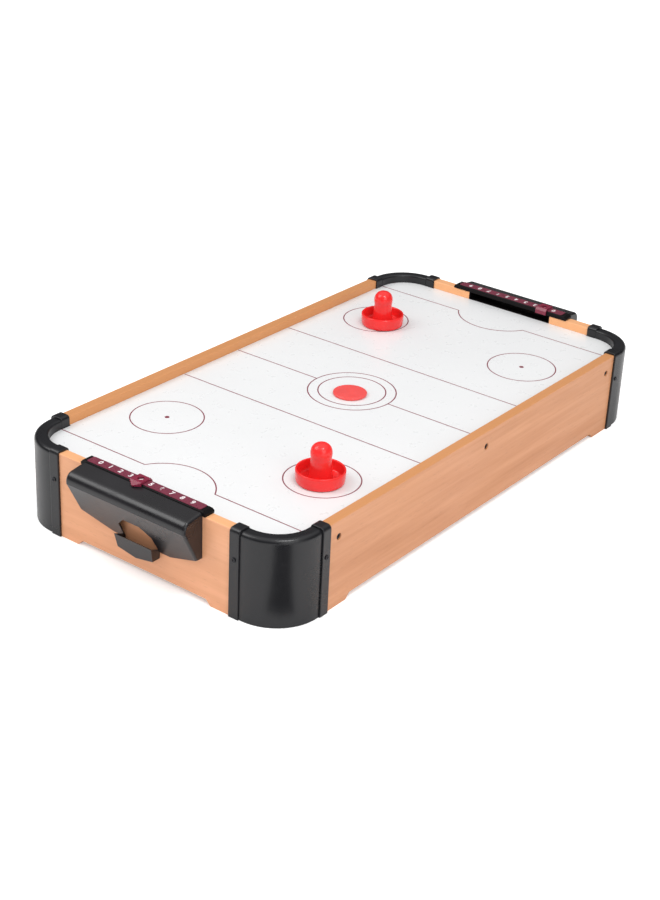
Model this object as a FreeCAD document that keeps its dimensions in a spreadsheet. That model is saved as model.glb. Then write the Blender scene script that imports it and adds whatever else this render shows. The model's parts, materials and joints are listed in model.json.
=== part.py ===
import FreeCAD, Part
import math
import os
import re

import Sketcher
from FreeCAD import Placement, Rotation, Vector

# Tabletop air hockey table. X runs along the table, Y across it and Z up.
# The origin is the centre of the footprint, on the surface the table stands on.
# Distances outward from an end rail's outside face are called depths.

DIMS = {
    # wooden frame
    "body_long": 560,
    "body_wide": 297,
    "rail_high": 79,
    "rail_thick": 10,
    "rail_round": 1,
    "arch_rise": 5,
    "arch_slope": 5,
    "side_arch_half": 200,
    "end_arch_half": 74,
    "mouth_half": 49,
    # corner caps
    "corner_round": 42,
    "cap_proud": 0.6,
    "cap_plate": 2,
    "cap_inside": 30.5,
    "cap_strap": 12.5,
    "strap_edge": 2.5,
    "cap_top": 79.3,
    "cap_bead": 4,
    "cap_lip": 2,
    "strap_top": 81,
    "strap_brow": 4,
    "strap_back": 3,
    "strap_ease": 0.7,
    "socket_gap": 2.6,
    "ledge_inside": 26,
    "ledge_low": 62,
    "cap_screw_up": 53.7,
    "cap_screw_back": 7.5,
    # deck and the boards under it
    "deck_top": 71,
    "deck_thick": 3,
    "board_gap": 0.2,
    "hole_pitch": 26,
    "hole_round": 0.4,
    "cleat_wide": 10,
    "cleat_high": 12,
    "floor_low": 24,
    "floor_thick": 3,
    "groove_deep": 4,
    "rail_screw_up": 64.3,
    "rail_screw_step": 213,
    # goal boxes
    "goal_half": 65,
    "goal_top": 82,
    "nose_deep": 21.8,
    "nose_low": 70,
    "nose_fall": 3,
    "nose_round": 8,
    "shell": 2,
    "face_foot": 28.4,
    "tray_half": 20.5,
    "tray_foot_half": 19.4,
    "tray_deep": 11.5,
    "tray_foot_deep": 7.7,
    "tray_low": 19,
    "tray_rise": 4,
    "tray_lip": 36,
    "tray_back": 31,
    "tray_wall": 1.2,
    "funnel_low": 24.5,
    "funnel_rise": 0.375,
    "window_foot": 19.3,
    "window_wide": 18.3,
    "window_narrow": 9,
    "window_knee": 44.8,
    "window_top": 53.5,
    "boss_out": 57,
    "boss_up": 53,
    # score bars
    "bar_half": 68,
    "bar_inner": 10.6,
    "bar_outer": 0.6,
    "bar_top": 83.4,
    "bar_bevel": 0.8,
    "peg_out": 58,
    "peg_round": 2,
    "peg_long": 7,
    "sill_thick": 0.9,
    "sill_gap": 0.1,
    "label_half": 62,
    "label_thick": 0.5,
    "mark_step": 11.2,
    "clip_half": 6,
    "clip_wall": 1.4,
    "clip_gap": 0.3,
    # strikers and puck
    "glide_gap": 0.15,
    "bowl_round": 21.6,
    "bowl_high": 12,
    "knob_round": 9.4,
    "knob_up": 26.1,
    "puck_round": 15.7,
    "puck_high": 2.2,
    "puck_edge": 0.6,
    # fan
    "fan_along": -60,
    "duct_round": 42,
    "duct_wall": 2,
    "duct_low": 8,
    "duct_top": 44,
    "flange_round": 50,
    "flange_thick": 2,
    "spoke_wide": 5,
    "spoke_thick": 3,
    "grille_low": 6,
    "motor_round": 10,
    "motor_long": 23,
    "shaft_round": 1,
    "shaft_gap": 0.05,
    "hub_round": 9,
    "hub_low": 18,
    "hub_high": 16,
    "blade_tip": 38.5,
    "blade_chord": 20,
    "blade_thick": 1.6,
    "blade_pitch": 35,
    # batteries
    "case_along": 70,
    "case_half_long": 33,
    "case_half_wide": 33.5,
    "case_low": 4,
    "case_wall": 2,
    "cell_round": 7.1,
    "cell_long": 49.3,
    "cell_pitch": 15,
    "nub_round": 2.7,
    "nub_long": 1.2,
    "door_thick": 1.8,
    "door_up": 5.1,
    "door_tongue": 0.8,
    # switch
    "switch_along": 10,
    "switch_across": -60,
    "switch_half_long": 9.5,
    "switch_half_wide": 6,
    "switch_high": 12,
    "bezel_thick": 1.4,
    "bezel_proud": 1.6,
    "rocker_half_long": 7,
    "rocker_half_wide": 4,
    "rocker_tilt": 8,
    "pin_round": 0.9,
    # leads
    "lead_round": 0.7,
    "lead_bend": 5,
}

doc = FreeCAD.newDocument("air_hockey_table")
sheet = doc.addObject("Spreadsheet::Sheet", "Dims")
for row, (alias, number) in enumerate(DIMS.items(), start=1):
    cell = "A%d" % row
    sheet.set(cell, str(number))
    sheet.setAlias(cell, alias)
doc.recompute()

finished = []


# ---------------------------------------------------------------- helpers

def val(expression):
    """The number that an expression over the sheet's aliases comes to."""
    return float(sheet.evalExpression(str(expression)))


def bound(expression):
    """The same expression as another object of the document writes it."""
    return re.sub(r"[a-z_]+", lambda word: "Dims." + word.group(0)
                  if word.group(0) in DIMS else word.group(0), str(expression))


def bind(thing, prop, expression):
    thing.setExpression(prop, bound(expression))


def place(thing, x, y, z):
    for axis, expression in zip("xyz", (x, y, z)):
        bind(thing, "Placement.Base." + axis, expression)


def box(name, x, y, z):
    """A box between two expressions along each axis."""
    thing = doc.addObject("Part::Box", name)
    for prop, (low, high) in zip(("Length", "Width", "Height"), (x, y, z)):
        bind(thing, prop, "(%s) - (%s)" % (high, low))
    place(thing, x[0], y[0], z[0])
    return thing


TURNS = {
    "x": Rotation(Vector(0, 1, 0), 90),
    "y": Rotation(Vector(1, 0, 0), -90),
    "z": Rotation(),
}


def rod(name, radius, length, x, y, z, axis="z"):
    """A cylinder that starts at a point and runs along one axis."""
    thing = doc.addObject("Part::Cylinder", name)
    bind(thing, "Radius", radius)
    bind(thing, "Height", length)
    thing.Placement = Placement(Vector(), TURNS[axis])
    place(thing, x, y, z)
    return thing


def fuse(name, parts):
    thing = doc.addObject("Part::MultiFuse", name)
    thing.Shapes = parts
    thing.Refine = True
    return thing


def cut(name, base, tools):
    thing = doc.addObject("Part::Cut", name)
    thing.Base = base
    thing.Tool = tools[0] if len(tools) == 1 else fuse(name + "_tools", tools)
    thing.Refine = True
    return thing


def common(name, parts):
    thing = doc.addObject("Part::MultiCommon", name)
    thing.Shapes = parts
    return thing


def group(name, parts):
    """Separate solids kept together as one node."""
    thing = doc.addObject("Part::Compound", name)
    thing.Links = parts
    return thing


def rounded(name, base, radius, choose, kind="Part::Fillet"):
    """Round or chamfer the edges of a solid that the test chooses."""
    doc.recompute()
    thing = doc.addObject(kind, name)
    thing.Base = base
    size = val(radius)
    picked = [i for i, edge in enumerate(base.Shape.Edges, start=1) if choose(edge)]
    thing.Edges = [(i, size, size) for i in picked]
    return thing


def runs_along(edge, axis):
    """True for a straight edge parallel to an axis."""
    if not isinstance(edge.Curve, Part.Line):
        return False
    return abs(abs(edge.Curve.Direction.dot(axis)) - 1) < 1e-6


def at_height(edge, height):
    return abs(edge.BoundBox.ZMin - height) < 1e-4 and abs(edge.BoundBox.ZMax - height) < 1e-4


def outline(body, role, points):
    """A closed sketch through points whose coordinates are bound to the sheet."""
    sketch = body.newObject("Sketcher::SketchObject", body.Name + "_sketch")
    plane = [f for f in body.Origin.OriginFeatures if f.Role == role][0]
    sketch.AttachmentSupport = [(plane, "")]
    sketch.MapMode = "FlatFace"
    corners = [Vector(val(p), val(q), 0) for p, q in points]
    count = len(points)
    for i in range(count):
        sketch.addGeometry(Part.LineSegment(corners[i], corners[(i + 1) % count]), False)
    for i in range(count):
        sketch.addConstraint(Sketcher.Constraint("Coincident", i, 2, (i + 1) % count, 1))
    for i, (p, q) in enumerate(points):
        for kind, expression, number in (("DistanceX", p, corners[i].x), ("DistanceY", q, corners[i].y)):
            index = sketch.addConstraint(Sketcher.Constraint(kind, -1, 1, i, 1, number))
            sketch.setExpression("Constraints[%d]" % index, bound(expression))
    return sketch


def padded(name, role, points, thickness):
    """A body whose outline is padded equally to both sides of its plane."""
    body = doc.addObject("PartDesign::Body", name)
    pad = body.newObject("PartDesign::Pad", name + "_pad")
    pad.Profile = outline(body, role, points)
    pad.Midplane = True
    bind(pad, "Length", thickness)
    return body


def turned(name, points):
    """A body of revolution about Z from a radius and height outline."""
    body = doc.addObject("PartDesign::Body", name)
    revolve = body.newObject("PartDesign::Revolution", name + "_turn")
    sketch = outline(body, "XZ_Plane", points)
    revolve.Profile = sketch
    revolve.ReferenceAxis = (sketch, ["V_Axis"])
    revolve.Angle = 360
    return body


def shaped(name, shape):
    thing = doc.addObject("Part::Feature", name)
    thing.Shape = shape
    return thing


def finish(thing, label):
    """Names a sub-part, so that it is checked and written."""
    thing.Label = label
    finished.append(thing)
    return thing


def both(half):
    """Low and high ends of a span that is centred on the origin."""
    return "-(%s)" % half, half


# ---------------------------------------------------------------- wooden frame

HALF_LONG = "body_long / 2"
HALF_WIDE = "body_wide / 2"
CORNER_X = "(body_long / 2 - corner_round)"
CORNER_Y = "(body_wide / 2 - corner_round)"


def arched_rail(name, role, half, arch_half):
    """A board on edge with a shallow arch along its foot and a softened top."""
    points = [
        ("-(%s)" % half, "0"),
        ("-(%s)" % arch_half, "0"),
        ("-(%s - arch_slope)" % arch_half, "arch_rise"),
        ("%s - arch_slope" % arch_half, "arch_rise"),
        (arch_half, "0"),
        (half, "0"),
        (half, "rail_high"),
        ("-(%s)" % half, "rail_high"),
    ]
    body = padded(name, role, points, "rail_thick")
    along = Vector(1, 0, 0) if role == "XZ_Plane" else Vector(0, 1, 0)
    doc.recompute()
    pad = body.Tip
    soften = body.newObject("PartDesign::Fillet", name + "_edges")
    top_edges = ["Edge%d" % i for i, edge in enumerate(pad.Shape.Edges, start=1)
                 if runs_along(edge, along) and at_height(edge, val("rail_high"))]
    soften.Base = (pad, top_edges)
    bind(soften, "Radius", "rail_round")
    body.Tip = soften
    return body


def cap_screw_bores(name, rail_is_side, side):
    """Pilot bores for the cap screws at both ends of a rail."""
    bores = []
    for end in (-1, 1):
        if rail_is_side:
            spot = ("%d * (%s - cap_screw_back)" % (end, CORNER_X), "%d * %s" % (side, HALF_WIDE))
            spot = (spot[0], spot[1] + (" - 8" if side > 0 else ""))
            bores.append(rod("%s_bore_%d" % (name, end + 2), "1.3", "8", spot[0], spot[1],
                             "cap_screw_up", "y"))
        else:
            start = "%d * %s" % (side, HALF_LONG) + (" - 8" if side > 0 else "")
            bores.append(rod("%s_bore_%d" % (name, end + 2), "1.3", "8", start,
                             "%d * (%s - cap_screw_back)" % (end, CORNER_Y), "cap_screw_up", "x"))
    return bores


def side_rail(label, side):
    rail = arched_rail(label + "_board", "XZ_Plane", CORNER_X + " - socket_gap", "side_arch_half")
    place(rail, "0", "%d * (%s - rail_thick / 2)" % (side, HALF_WIDE), "0")
    inner = "%s - rail_thick" % HALF_WIDE
    span = ("%d * (%s)" % (side, inner), "%d * (%s + groove_deep)" % (side, inner))
    low, high = span if side > 0 else span[::-1]
    tools = [box(label + "_groove", both(CORNER_X), (low, high),
                 ("floor_low - 0.1", "floor_low + floor_thick + 0.1"))]
    face = "%d * %s" % (side, HALF_WIDE)
    for step in (-1, 0, 1):
        along = "%d * rail_screw_step" % step
        head = face + (" - 2.2" if side > 0 else "")
        shank = face + (" - rail_thick" if side > 0 else "")
        tools.append(rod("%s_sink_%d" % (label, step + 1), "3", "2.2", along, head, "rail_screw_up", "y"))
        tools.append(rod("%s_way_%d" % (label, step + 1), "1.5", "rail_thick", along, shank,
                         "rail_screw_up", "y"))
    tools += cap_screw_bores(label, True, side)
    return finish(cut(label, rail, tools), label)


def end_rail(label, side):
    rail = arched_rail(label + "_board", "YZ_Plane", CORNER_Y + " - socket_gap", "end_arch_half")
    place(rail, "%d * (%s - rail_thick / 2)" % (side, HALF_LONG), "0", "0")
    inner = "%s - rail_thick" % HALF_LONG
    span = ("%d * (%s)" % (side, inner), "%d * (%s + groove_deep)" % (side, inner))
    low, high = span if side > 0 else span[::-1]
    through = ("%d * %s - 12" % (side, HALF_LONG), "%d * %s + 12" % (side, HALF_LONG))
    tools = [
        box(label + "_groove", (low, high), both(CORNER_Y),
            ("floor_low - 0.1", "floor_low + floor_thick + 0.1")),
        box(label + "_mouth", through, both("mouth_half"),
            ("deck_top - sill_thick - 2 * sill_gap", "rail_high + 1")),
    ]
    start = "%d * %s" % (side, HALF_LONG) + (" - rail_thick" if side > 0 else "")
    for hand in (-1, 1):
        tools.append(rod("%s_peg_hole_%d" % (label, hand + 1), "peg_round + 0.02", "peg_long",
                         "%d * (%s + (bar_outer - bar_inner) / 2)" % (side, HALF_LONG),
                         "%d * peg_out" % hand, "rail_high - peg_long"))
        tools.append(rod("%s_boss_way_%d" % (label, hand + 1), "1.5", "rail_thick", start,
                         "%d * boss_out" % hand, "boss_up", "x"))
    tools += cap_screw_bores(label, False, side)
    return finish(cut(label, rail, tools), label)


side_rail("side_rail_front", -1)
side_rail("side_rail_back", 1)
end_rail("end_rail_left", -1)
end_rail("end_rail_right", 1)


# ---------------------------------------------------------------- corner caps

def corner_cap(label, side_x, side_y, turn):
    """A quarter-round post with a socket for the end of each rail.

    It is drawn about the centre of its own arc, as the cap of the +X +Y corner.
    """
    outer = "corner_round + cap_proud"
    plate = "corner_round + cap_plate"
    inside_rail = "corner_round - rail_thick"

    quarter = box(label + "_quarter", ("0", "60"), ("0", "60"), ("0", "cap_top"))
    disc = rod(label + "_disc", outer, "cap_top", "0", "0", "0")
    ledge_quarter = box(label + "_ledge_quarter", ("0", "60"), ("0", "60"),
                        ("ledge_low", "deck_top - deck_thick"))

    def span(name, swap, along, across, up):
        """A box beside the arc: before its start, or swapped to after its end."""
        pair = (across, along) if swap else (along, across)
        return box(label + "_" + name + ("_b" if swap else "_a"), pair[0], pair[1], up)

    # a web closes each socket, then the strap wraps the rail end on three sides
    webs = [span("web", swap, ("-strap_edge", "0"), ("cap_inside", outer), ("0", "cap_top"))
            for swap in (False, True)]
    wall = cut(label + "_wall", fuse(label + "_solid", [common(label + "_post", [quarter, disc])] + webs),
               [rod(label + "_hollow", "cap_inside", "cap_top + 10", "0", "0", "-1")])

    def arc_edge(edge, radius, height):
        return (isinstance(edge.Curve, Part.Circle) and at_height(edge, height)
                and abs(edge.Curve.Radius - val(radius)) < 1e-3)

    bead = rounded(label + "_bead", wall, "cap_bead", lambda e: arc_edge(e, outer, val("cap_top")))
    lip = rounded(label + "_lip", bead, "cap_lip", lambda e: arc_edge(e, "cap_inside", val("cap_top")))
    eased = rounded(label + "_foot", lip, "strap_ease", lambda e: arc_edge(e, outer, 0))

    def strap(swap):
        """A bar over the end of a rail, with a rounded brow."""
        along = Vector(0, 1, 0) if swap else Vector(1, 0, 0)
        side = "X" if swap else "Y"
        other = "Y" if swap else "X"
        tag = label + ("_strap_b" if swap else "_strap_a")
        bar = span("bar", swap, ("-cap_strap", "-strap_edge"), ("cap_inside", plate), ("0", "strap_top"))

        def top_edge(edge, across):
            return (runs_along(edge, along) and at_height(edge, val("strap_top"))
                    and abs(getattr(edge.BoundBox, side + "Max") - val(across)) < 1e-3)

        def rim(edge):
            """Edges round both sides of the bar, and along its outer foot."""
            room = edge.BoundBox
            flat = getattr(room, other + "Length") < 1e-3
            foot = at_height(edge, 0)
            outermost = getattr(room, side + "Min") > val(plate) - 1e-3
            return (flat and not foot) or (foot and outermost)

        brow = rounded(tag + "_brow", bar, "strap_brow", lambda e: top_edge(e, plate))
        back = rounded(tag + "_back", brow, "strap_back", lambda e: top_edge(e, "cap_inside"))
        return rounded(tag, back, "strap_ease", rim)

    whole = fuse(label + "_whole", [eased, strap(False), strap(True)])
    tools = []
    for swap in (False, True):
        tools.append(span("socket", swap, ("-cap_strap - 1", "-socket_gap"),
                          (inside_rail, "corner_round"), ("-1", "rail_high")))
        spot = ("-cap_screw_back", "corner_round - 1")
        if swap:
            spot = spot[::-1]
        tools.append(rod(label + "_screw_way" + ("_b" if swap else "_a"), "1.3", "cap_plate + 2",
                         spot[0], spot[1], "cap_screw_up", "x" if swap else "y"))
    cleared = cut(label + "_cleared", whole, tools)
    ledge = cut(label + "_ledge", common(label + "_ledge_part", [
        ledge_quarter,
        rod(label + "_ledge_disc", "cap_inside", "60", "0", "0", "ledge_low"),
    ]), [rod(label + "_ledge_bore", "ledge_inside", "60", "0", "0", "ledge_low - 1")])
    cap = fuse(label, [cleared, ledge])
    cap.Placement = Placement(Vector(side_x * val(CORNER_X), side_y * val(CORNER_Y), 0),
                              Rotation(Vector(0, 0, 1), turn))
    return finish(cap, label)


corner_cap("corner_cap_back_right", 1, 1, 0)
corner_cap("corner_cap_back_left", -1, 1, 90)
corner_cap("corner_cap_front_left", -1, -1, 180)
corner_cap("corner_cap_front_right", 1, -1, 270)


# ---------------------------------------------------------------- deck, cleats, floor

def panel(name, low, high, reach):
    """A board that fills the frame, notched round the corner caps.

    reach is how far it runs past the inside of the rails.
    """
    core_x = "%s + cap_inside - board_gap" % CORNER_X
    core_y = "%s + cap_inside - board_gap" % CORNER_Y
    core = box(name + "_core", both(core_x), both(core_y), (low, high))
    eased = rounded(name + "_eased", core, "cap_inside - board_gap",
                    lambda edge: runs_along(edge, Vector(0, 0, 1)))
    edge_x = "%s - rail_thick + (%s)" % (HALF_LONG, reach)
    edge_y = "%s - rail_thick + (%s)" % (HALF_WIDE, reach)
    free = "(cap_strap + 1)"
    long_tongue = box(name + "_long", both("%s - %s" % (CORNER_X, free)), both(edge_y), (low, high))
    wide_tongue = box(name + "_wide", both(edge_x), both("%s - %s" % (CORNER_Y, free)), (low, high))
    return fuse(name, [eased, long_tongue, wide_tongue])


def air_holes():
    """A grid of fine holes through the deck, centred on it."""
    pitch = val("hole_pitch")
    columns = int((val(HALF_LONG) - 25) / pitch)
    rows = int((val(HALF_WIDE) - 25) / pitch)
    drills = []
    for column in range(-columns, columns + 1):
        for row in range(-rows, rows + 1):
            spot = Vector(column * pitch, row * pitch, val("deck_top - deck_thick - 1"))
            drills.append(Part.makeCylinder(val("hole_round"), val("deck_thick + 2"), spot))
    return shaped("air_holes", Part.makeCompound(drills))


deck_blank = panel("deck_blank", "deck_top - deck_thick", "deck_top", "-board_gap")
deck = doc.addObject("Part::Cut", "deck")
deck.Base = deck_blank
deck.Tool = air_holes()
finish(deck, "deck")


def cleat(label, x, y, bores):
    """A square batten that carries one edge of the deck."""
    top = "deck_top - deck_thick"
    batten = box(label + "_batten", x, y, (top + " - cleat_high", top))
    return finish(cut(label, batten, bores) if bores else batten, label)


for label, side in (("deck_cleat_front", -1), ("deck_cleat_back", 1)):
    inner = "(%s - rail_thick)" % HALF_WIDE
    near, far = "%d * (%s - cleat_wide)" % (side, inner), "%d * %s" % (side, inner)
    low, high = (near, far) if side > 0 else (far, near)
    bores = [rod("%s_bore_%d" % (label, step + 1), "1.5", "8", "%d * rail_screw_step" % step,
                 far + (" - 8" if side > 0 else ""), "rail_screw_up", "y") for step in (-1, 0, 1)]
    cleat(label, both("%s - cap_strap - 1" % CORNER_X), (low, high), bores)

for label, side in (("deck_cleat_left", -1), ("deck_cleat_right", 1)):
    inner = "(%s - rail_thick)" % HALF_LONG
    near, far = "%d * (%s - cleat_wide)" % (side, inner), "%d * %s" % (side, inner)
    low, high = (near, far) if side > 0 else (far, near)
    cleat(label, (low, high), both("%s - cap_strap - 1" % CORNER_Y), [])

floor_blank = panel("floor_blank", "floor_low", "floor_low + floor_thick", "groove_deep - board_gap")
fan_spots = [(math.cos(math.radians(a)), math.sin(math.radians(a))) for a in (45, 135, 225, 315)]
FAN_SCREW_REACH = "(duct_round + flange_round) / 2"


def fan_spot(index):
    reach_x, reach_y = fan_spots[index]
    return ("fan_along + (%s) * %.6f" % (FAN_SCREW_REACH, reach_x),
            "(%s) * %.6f" % (FAN_SCREW_REACH, reach_y))


case_spots = [(i, j) for i in (-1, 1) for j in (-1, 1)]


def case_spot(index):
    i, j = case_spots[index]
    return ("case_along + %d * (case_half_long + 4)" % i, "%d * (case_half_wide - 8)" % j)


LEAD_EXITS = (("case_along - case_half_long + 5", "cell_pitch * -1.5"),
              ("case_along - case_half_long + 5", "cell_pitch * 1.5"))

floor_tools = [rod("floor_duct", "duct_round + 0.3", "20", "fan_along", "0", "floor_low - 5")]
floor_tools += [rod("floor_fan_bore_%d" % i, "1.4", "20", *fan_spot(i), "floor_low - 5") for i in range(4)]
floor_tools += [rod("floor_case_bore_%d" % i, "1.4", "20", *case_spot(i), "floor_low - 5") for i in range(4)]
floor_tools += [rod("floor_lead_%d" % i, "2", "20", *spot, "floor_low - 5")
                for i, spot in enumerate(LEAD_EXITS)]
floor_tools.append(box("floor_switch",
                       ("switch_along - switch_half_long - 0.1", "switch_along + switch_half_long + 0.1"),
                       ("switch_across - switch_half_wide - 0.1", "switch_across + switch_half_wide + 0.1"),
                       ("floor_low - 5", "floor_low + 10")))
finish(cut("bottom_board", floor_blank, floor_tools), "bottom_board")


# ---------------------------------------------------------------- screws

def screw(name, head, shank, length, x, y, z, axis, outward, head_high=1.3):
    """A pan head screw with a cross recess; outward is the head's side."""
    offsets = {"x": Vector(1, 0, 0), "y": Vector(0, 1, 0), "z": Vector(0, 0, 1)}
    way = offsets[axis] * outward
    spot = Vector(val(x), val(y), val(z))
    body = Part.makeCylinder(shank, length, spot, way * -1)
    cap = Part.makeCylinder(head, head_high, spot, way)
    cap = cap.makeFillet(head_high * 0.45, [e for e in cap.Edges if isinstance(e.Curve, Part.Circle)
                                            and (e.Curve.Center - spot).Length > head_high / 2])
    solid = body.fuse(cap).removeSplitter()
    for angle in (0, 90):
        slot = Part.makeBox(head * 1.1, head * 0.28, head_high,
                            Vector(-head * 0.55, -head * 0.14, head_high * 0.4))
        slot.rotate(Vector(), Vector(0, 0, 1), angle)
        slot.Placement = Placement(spot, Rotation(Vector(0, 0, 1), way)).multiply(slot.Placement)
        solid = solid.cut(slot)
    return shaped(name, solid)


rail_screws = []
for side in (-1, 1):
    for step in (-1, 0, 1):
        rail_screws.append(screw("rail_screw_%d_%d" % (side + 1, step + 1), 2.9, 1.5, 14.5,
                                 "%d * rail_screw_step" % step, "%d * (%s - 2.2)" % (side, HALF_WIDE),
                                 "rail_screw_up", "y", side))
finish(group("rail_screws", rail_screws), "rail_screws")

cap_screws = []
for side_x in (-1, 1):
    for side_y in (-1, 1):
        tag = "%d_%d" % (side_x + 1, side_y + 1)
        cap_screws.append(screw("cap_screw_long_" + tag, 2.1, 1.3, 9,
                                "%d * (%s - cap_screw_back)" % (side_x, CORNER_X),
                                "%d * (%s + cap_plate)" % (side_y, HALF_WIDE), "cap_screw_up", "y",
                                side_y, 0.9))
        cap_screws.append(screw("cap_screw_wide_" + tag, 2.1, 1.3, 9,
                                "%d * (%s + cap_plate)" % (side_x, HALF_LONG),
                                "%d * (%s - cap_screw_back)" % (side_y, CORNER_Y), "cap_screw_up", "x",
                                side_x, 0.9))
finish(group("cap_screws", cap_screws), "cap_screws")

goal_screws = []
for side in (-1, 1):
    for hand in (-1, 1):
        goal_screws.append(screw("goal_screw_%d_%d" % (side + 1, hand + 1), 2.9, 1.5, 18.5,
                                 "%d * (%s - rail_thick)" % (side, HALF_LONG), "%d * boss_out" % hand,
                                 "boss_up", "x", -side))
finish(group("goal_box_screws", goal_screws), "goal_box_screws")

fan_screws = [screw("fan_screw_%d" % i, 2.7, 1.4, 5 + val("flange_thick") - 0.2, *fan_spot(i),
                    "floor_low - flange_thick", "z", -1) for i in range(4)]
finish(group("fan_screws", fan_screws), "fan_screws")

case_screws = [screw("case_screw_%d" % i, 2.7, 1.4, 5 + val("case_wall") - 0.2, *case_spot(i),
                     "floor_low - case_wall", "z", -1) for i in range(4)]
finish(group("battery_case_screws", case_screws), "battery_case_screws")


# ---------------------------------------------------------------- goal boxes

def at_end(thing, side):
    """Carries a piece drawn outward from X = 0 to one end of the table."""
    turn = 0 if side > 0 else 180
    thing.Placement = Placement(Vector(side * val(HALF_LONG), 0, 0), Rotation(Vector(0, 0, 1), turn))
    return thing


def goal_box(label, side):
    """A thin moulded shell: nose, sloped face, funnel floor and puck tray."""
    top_inner = "bar_outer + 0.05"
    profile = [
        (top_inner, "goal_top"), ("nose_deep", "goal_top - nose_fall"), ("nose_deep", "nose_low"),
        ("0", "face_foot"), ("0", "rail_high - 0.1"), (top_inner, "rail_high - 0.1"),
    ]
    blank = padded(label + "_blank", "XZ_Plane", profile, "2 * goal_half")
    nose_corner = val("nose_deep")
    eased = rounded(label + "_nose", blank, "nose_round",
                    lambda e: runs_along(e, Vector(0, 1, 0)) and at_height(e, val("goal_top - nose_fall"))
                    and abs(e.BoundBox.XMax - nose_corner) < 1e-4)
    end_eased = rounded(label + "_ends", eased, "2.5",
                        lambda e: abs(abs(e.BoundBox.YMin) - val("goal_half")) < 1e-4
                        and abs(e.BoundBox.YMax - e.BoundBox.YMin) < 1e-4
                        and e.BoundBox.XMax > 3 and e.BoundBox.ZMax > val("face_foot") + 8)

    # the two halves of the funnel rise away from the tray
    def wedge(name, hand, lift, start):
        far = "goal_half + 10"
        points = [
            ("%d * (%s)" % (hand, start), "0"),
            ("%d * (%s)" % (hand, start), "funnel_low + %s" % lift),
            ("%d * (%s)" % (hand, far), "funnel_low + %s + funnel_rise * (%s - (%s))" % (lift, far, start)),
            ("%d * (%s)" % (hand, far), "0"),
        ]
        return padded(name, "YZ_Plane", points, "120")

    wedges = [wedge("%s_wedge_%d" % (label, hand + 1), hand, "0", "tray_half") for hand in (-1, 1)]
    upper = cut(label + "_upper", end_eased, wedges)

    def scoop(name, back, low, wall, top):
        """The tray's outside, or its inside when a wall is taken off."""
        side_points = [
            (back, low), ("tray_foot_deep - %s" % wall, low), ("tray_deep - %s" % wall, "tray_lip" + top),
            (back, "tray_lip" + top if top else "tray_back"),
        ]
        front_points = [
            ("-tray_foot_half + %s" % wall, "tray_low + tray_rise + %s" % wall),
            ("0", "tray_low + %s" % wall),
            ("tray_foot_half - %s" % wall, "tray_low + tray_rise + %s" % wall),
            ("tray_half - %s" % wall, "tray_lip" + top), ("-tray_half + %s" % wall, "tray_lip" + top),
        ]
        return common(name, [padded(name + "_profile", "XZ_Plane", side_points, "2 * tray_half"),
                             padded(name + "_front", "YZ_Plane", front_points, "60")])

    hollow_points = [
        ("-1", "goal_top - shell"), ("nose_deep - shell", "goal_top - shell - nose_fall"),
        ("nose_deep - shell", "nose_low + 0.5"),
        ("-1", "nose_low + 0.5 - 2 * (nose_deep - shell + 1)"),
    ]
    hollow_blank = padded(label + "_hollow_blank", "XZ_Plane", hollow_points, "2 * (goal_half - shell)")
    hollow_nose = rounded(label + "_hollow_nose", hollow_blank, "nose_round - shell",
                          lambda e: runs_along(e, Vector(0, 1, 0)) and e.BoundBox.XMax > nose_corner - 2.1
                          and e.BoundBox.ZMin > val("nose_low") + 3)
    inner_wedges = [wedge("%s_inner_wedge_%d" % (label, hand + 1), hand, "shell", "tray_half - shell")
                    for hand in (-1, 1)]
    bosses = [rod("%s_boss_%d" % (label, hand + 1), "3.5", "30", "-1", "%d * boss_out" % hand, "boss_up", "x")
              for hand in (-1, 1)]
    hollow = cut(label + "_hollow", hollow_nose, inner_wedges + bosses)
    window_points = [
        ("-window_foot", "face_foot - 1"), ("-window_wide", "window_knee"), ("-window_narrow", "window_top"),
        ("window_narrow", "window_top"), ("window_wide", "window_knee"), ("window_foot", "face_foot - 1"),
    ]
    window = padded(label + "_window", "YZ_Plane", window_points, "80")
    screw_ways = [rod("%s_screw_way_%d" % (label, hand + 1), "1.5", "10.2", "-1", "%d * boss_out" % hand,
                      "boss_up", "x") for hand in (-1, 1)]
    face = cut(label + "_face", upper, [hollow, window])
    outside = fuse(label + "_outside", [face, scoop(label + "_tray", "0", "tray_low", "0", "")])
    inside = scoop(label + "_slot", "-1", "tray_low", "tray_wall", " + 1")
    shell = cut(label, outside, [inside] + screw_ways)
    return finish(at_end(shell, side), label)


goal_box("goal_box_left", -1)
goal_box("goal_box_right", 1)


# ---------------------------------------------------------------- score bars and clips

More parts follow.
